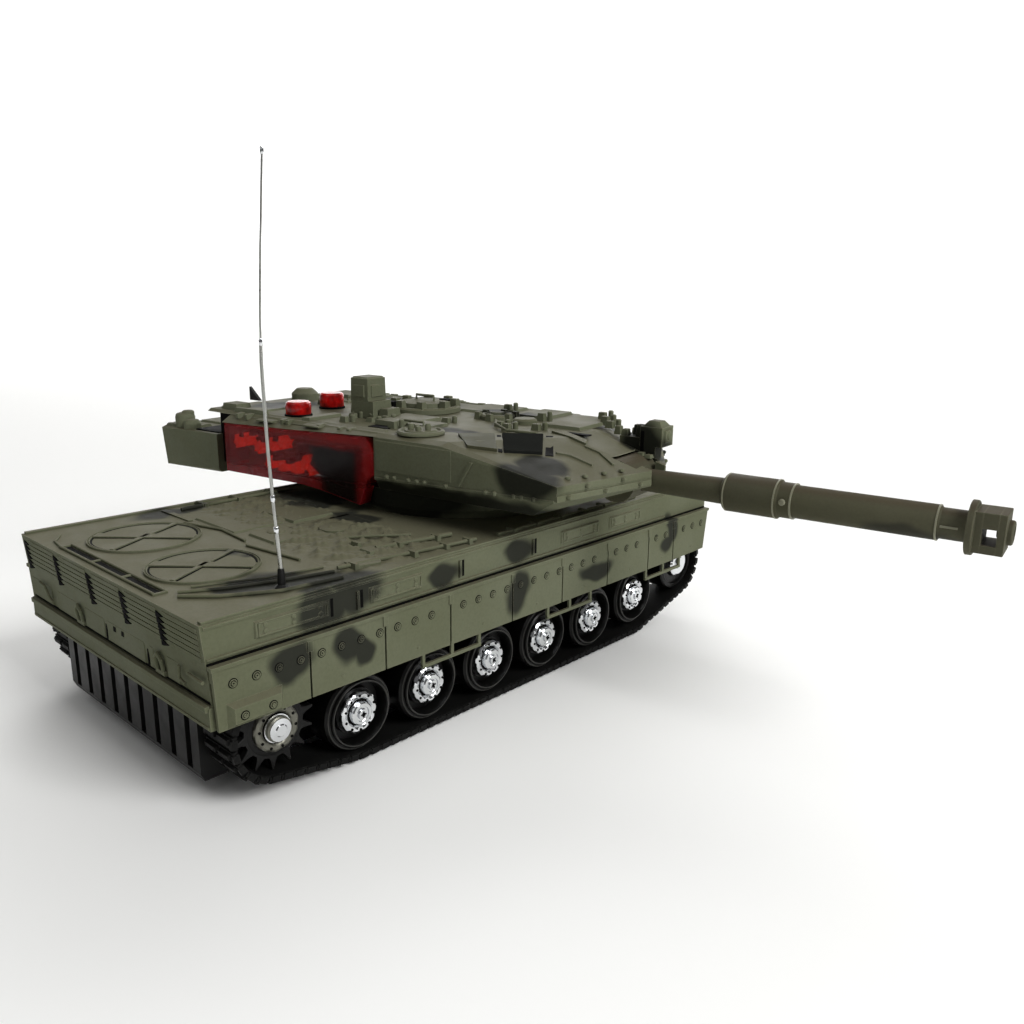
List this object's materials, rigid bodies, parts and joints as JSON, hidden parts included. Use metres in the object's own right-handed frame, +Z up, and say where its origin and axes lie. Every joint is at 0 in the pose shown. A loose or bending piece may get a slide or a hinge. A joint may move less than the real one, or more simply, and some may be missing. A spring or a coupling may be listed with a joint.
{
  "type": "toy tank",
  "caption": "Toy battle tank with a turning turret, an elevating gun, wheels that roll inside fixed tracks, a whip antenna and a belly switch.",
  "frame": {"origin": "on the turret's turning axis, in the plane of the belly plate's underside", "axes": "+Z up, the front of the hull faces -Y, the hull's right side is -X; at rest the turret is turned 82 degrees to the right"},
  "size_m": [0.4302, 0.3, 0.2186],
  "materials": {
    "olive_plastic": "satin with soft grey camouflage",
    "black_plastic": "satin",
    "grey_plastic": "satin",
    "track_rubber": "moulded",
    "chrome_plate": "bright plated plastic",
    "motor_steel": "drawn",
    "red_clear": "clear, tinted red",
    "red_plastic": "gloss",
    "green_board": "lacquered circuit board",
    "blue_wrap": "shrink wrap"
  },
  "bodies": {
    "hull": {"upper_hull": "olive_plastic", "lower_hull": "black_plastic", "battery_door": "black_plastic", "battery_pack": "blue_wrap", "drive_gearbox": "grey_plastic", "circuit_board": "green_board", "turret_motor": "motor_steel", "antenna_base": "black_plastic", "antenna_rod": "motor_steel", "right_skirt": "olive_plastic", "right_track": "track_rubber", "right_drive_motor": "motor_steel", "left_skirt": "olive_plastic", "left_track": "track_rubber", "left_drive_motor": "motor_steel"},
    "turret": {"turret_base": "olive_plastic", "turret_shell": "olive_plastic", "bustle_box": "olive_plastic", "right_window": "red_clear", "left_window": "red_clear", "right_led_board": "green_board", "rear_lamp": "red_clear", "side_lamp": "red_clear", "sight_block": "olive_plastic", "commander_hatch": "olive_plastic", "loader_hatch": "olive_plastic"},
    "gun": {"gun_mantlet": "olive_plastic", "barrel": "olive_plastic", "muzzle_brake": "olive_plastic"},
    "switch": {"power_switch": "red_plastic"},
    "right_sprocket_set": {"right_sprocket": "black_plastic", "right_sprocket_hub": "chrome_plate"},
    "right_idler_wheel": {"right_idler": "black_plastic"},
    "right_road_wheel_1": {"right_wheel_1": "black_plastic", "right_hub_1": "chrome_plate"},
    "right_road_wheel_2": {"right_wheel_2": "black_plastic", "right_hub_2": "chrome_plate"},
    "right_road_wheel_3": {"right_wheel_3": "black_plastic", "right_hub_3": "chrome_plate"},
    "right_road_wheel_4": {"right_wheel_4": "black_plastic", "right_hub_4": "chrome_plate"},
    "right_road_wheel_5": {"right_wheel_5": "black_plastic", "right_hub_5": "chrome_plate"},
    "right_road_wheel_6": {"right_wheel_6": "black_plastic", "right_hub_6": "chrome_plate"},
    "left_sprocket_set": {"left_sprocket": "black_plastic", "left_sprocket_hub": "chrome_plate"},
    "left_idler_wheel": {"left_idler": "black_plastic"},
    "left_road_wheel_1": {"left_wheel_1": "black_plastic", "left_hub_1": "chrome_plate"},
    "left_road_wheel_2": {"left_wheel_2": "black_plastic", "left_hub_2": "chrome_plate"},
    "left_road_wheel_3": {"left_wheel_3": "black_plastic", "left_hub_3": "chrome_plate"},
    "left_road_wheel_4": {"left_wheel_4": "black_plastic", "left_hub_4": "chrome_plate"},
    "left_road_wheel_5": {"left_wheel_5": "black_plastic", "left_hub_5": "chrome_plate"},
    "left_road_wheel_6": {"left_wheel_6": "black_plastic", "left_hub_6": "chrome_plate"}
  },
  "joints": [
    {"name": "turret_turn", "type": "hinge", "parent": "hull", "child": "turret", "pos_m": [0, 0, 0.07], "axis": [0, 0, 1], "range_deg": [-70, 84]},
    {"name": "gun_elevation", "type": "hinge", "parent": "turret", "child": "gun", "pos_m": [-0.09408, -0.01322, 0.087], "axis": [-0.1392, 0.9903, 0], "range_deg": [-5, 12]},
    {"name": "power_switch_slide", "type": "slide", "parent": "hull", "child": "switch", "axis": [0, -1, 0], "range_m": [0, 0.004]},
    {"name": "right_sprocket_spin", "type": "hinge", "parent": "hull", "child": "right_sprocket_set", "pos_m": [-0.065, 0.159, 0.02], "axis": [1, 0, 0], "continuous": true},
    {"name": "right_idler_spin", "type": "hinge", "parent": "hull", "child": "right_idler_wheel", "pos_m": [-0.065, -0.093, 0.024], "axis": [1, 0, 0], "continuous": true},
    {"name": "right_wheel_1_spin", "type": "hinge", "parent": "hull", "child": "right_road_wheel_1", "pos_m": [-0.065, 0.1235, 0.013], "axis": [1, 0, 0], "continuous": true},
    {"name": "right_wheel_2_spin", "type": "hinge", "parent": "hull", "child": "right_road_wheel_2", "pos_m": [-0.065, 0.0882, 0.013], "axis": [1, 0, 0], "continuous": true},
    {"name": "right_wheel_3_spin", "type": "hinge", "parent": "hull", "child": "right_road_wheel_3", "pos_m": [-0.065, 0.0529, 0.013], "axis": [1, 0, 0], "continuous": true},
    {"name": "right_wheel_4_spin", "type": "hinge", "parent": "hull", "child": "right_road_wheel_4", "pos_m": [-0.065, 0.0176, 0.013], "axis": [1, 0, 0], "continuous": true},
    {"name": "right_wheel_5_spin", "type": "hinge", "parent": "hull", "child": "right_road_wheel_5", "pos_m": [-0.065, -0.0177, 0.013], "axis": [1, 0, 0], "continuous": true},
    {"name": "right_wheel_6_spin", "type": "hinge", "parent": "hull", "child": "right_road_wheel_6", "pos_m": [-0.065, -0.053, 0.0155], "axis": [1, 0, 0], "continuous": true},
    {"name": "left_sprocket_spin", "type": "hinge", "parent": "hull", "child": "left_sprocket_set", "pos_m": [0.065, 0.159, 0.02], "axis": [1, 0, 0], "continuous": true},
    {"name": "left_idler_spin", "type": "hinge", "parent": "hull", "child": "left_idler_wheel", "pos_m": [0.065, -0.093, 0.024], "axis": [1, 0, 0], "continuous": true},
    {"name": "left_wheel_1_spin", "type": "hinge", "parent": "hull", "child": "left_road_wheel_1", "pos_m": [0.065, 0.1235, 0.013], "axis": [1, 0, 0], "continuous": true},
    {"name": "left_wheel_2_spin", "type": "hinge", "parent": "hull", "child": "left_road_wheel_2", "pos_m": [0.065, 0.0882, 0.013], "axis": [1, 0, 0], "continuous": true},
    {"name": "left_wheel_3_spin", "type": "hinge", "parent": "hull", "child": "left_road_wheel_3", "pos_m": [0.065, 0.0529, 0.013], "axis": [1, 0, 0], "continuous": true},
    {"name": "left_wheel_4_spin", "type": "hinge", "parent": "hull", "child": "left_road_wheel_4", "pos_m": [0.065, 0.0176, 0.013], "axis": [1, 0, 0], "continuous": true},
    {"name": "left_wheel_5_spin", "type": "hinge", "parent": "hull", "child": "left_road_wheel_5", "pos_m": [0.065, -0.0177, 0.013], "axis": [1, 0, 0], "continuous": true},
    {"name": "left_wheel_6_spin", "type": "hinge", "parent": "hull", "child": "left_road_wheel_6", "pos_m": [0.065, -0.053, 0.0155], "axis": [1, 0, 0], "continuous": true}
  ],
  "couplings": [
    {"joint": "right_idler_spin", "follows": "right_sprocket_spin", "ratio": 1.0993},
    {"joint": "right_wheel_1_spin", "follows": "right_sprocket_spin", "ratio": 1.0641},
    {"joint": "right_wheel_2_spin", "follows": "right_sprocket_spin", "ratio": 1.0641},
    {"joint": "right_wheel_3_spin", "follows": "right_sprocket_spin", "ratio": 1.0641},
    {"joint": "right_wheel_4_spin", "follows": "right_sprocket_spin", "ratio": 1.0641},
    {"joint": "right_wheel_5_spin", "follows": "right_sprocket_spin", "ratio": 1.0641},
    {"joint": "right_wheel_6_spin", "follows": "right_sprocket_spin", "ratio": 1.0641},
    {"joint": "left_idler_spin", "follows": "left_sprocket_spin", "ratio": 1.0993},
    {"joint": "left_wheel_1_spin", "follows": "left_sprocket_spin", "ratio": 1.0641},
    {"joint": "left_wheel_2_spin", "follows": "left_sprocket_spin", "ratio": 1.0641},
    {"joint": "left_wheel_3_spin", "follows": "left_sprocket_spin", "ratio": 1.0641},
    {"joint": "left_wheel_4_spin", "follows": "left_sprocket_spin", "ratio": 1.0641},
    {"joint": "left_wheel_5_spin", "follows": "left_sprocket_spin", "ratio": 1.0641},
    {"joint": "left_wheel_6_spin", "follows": "left_sprocket_spin", "ratio": 1.0641}
  ]
}
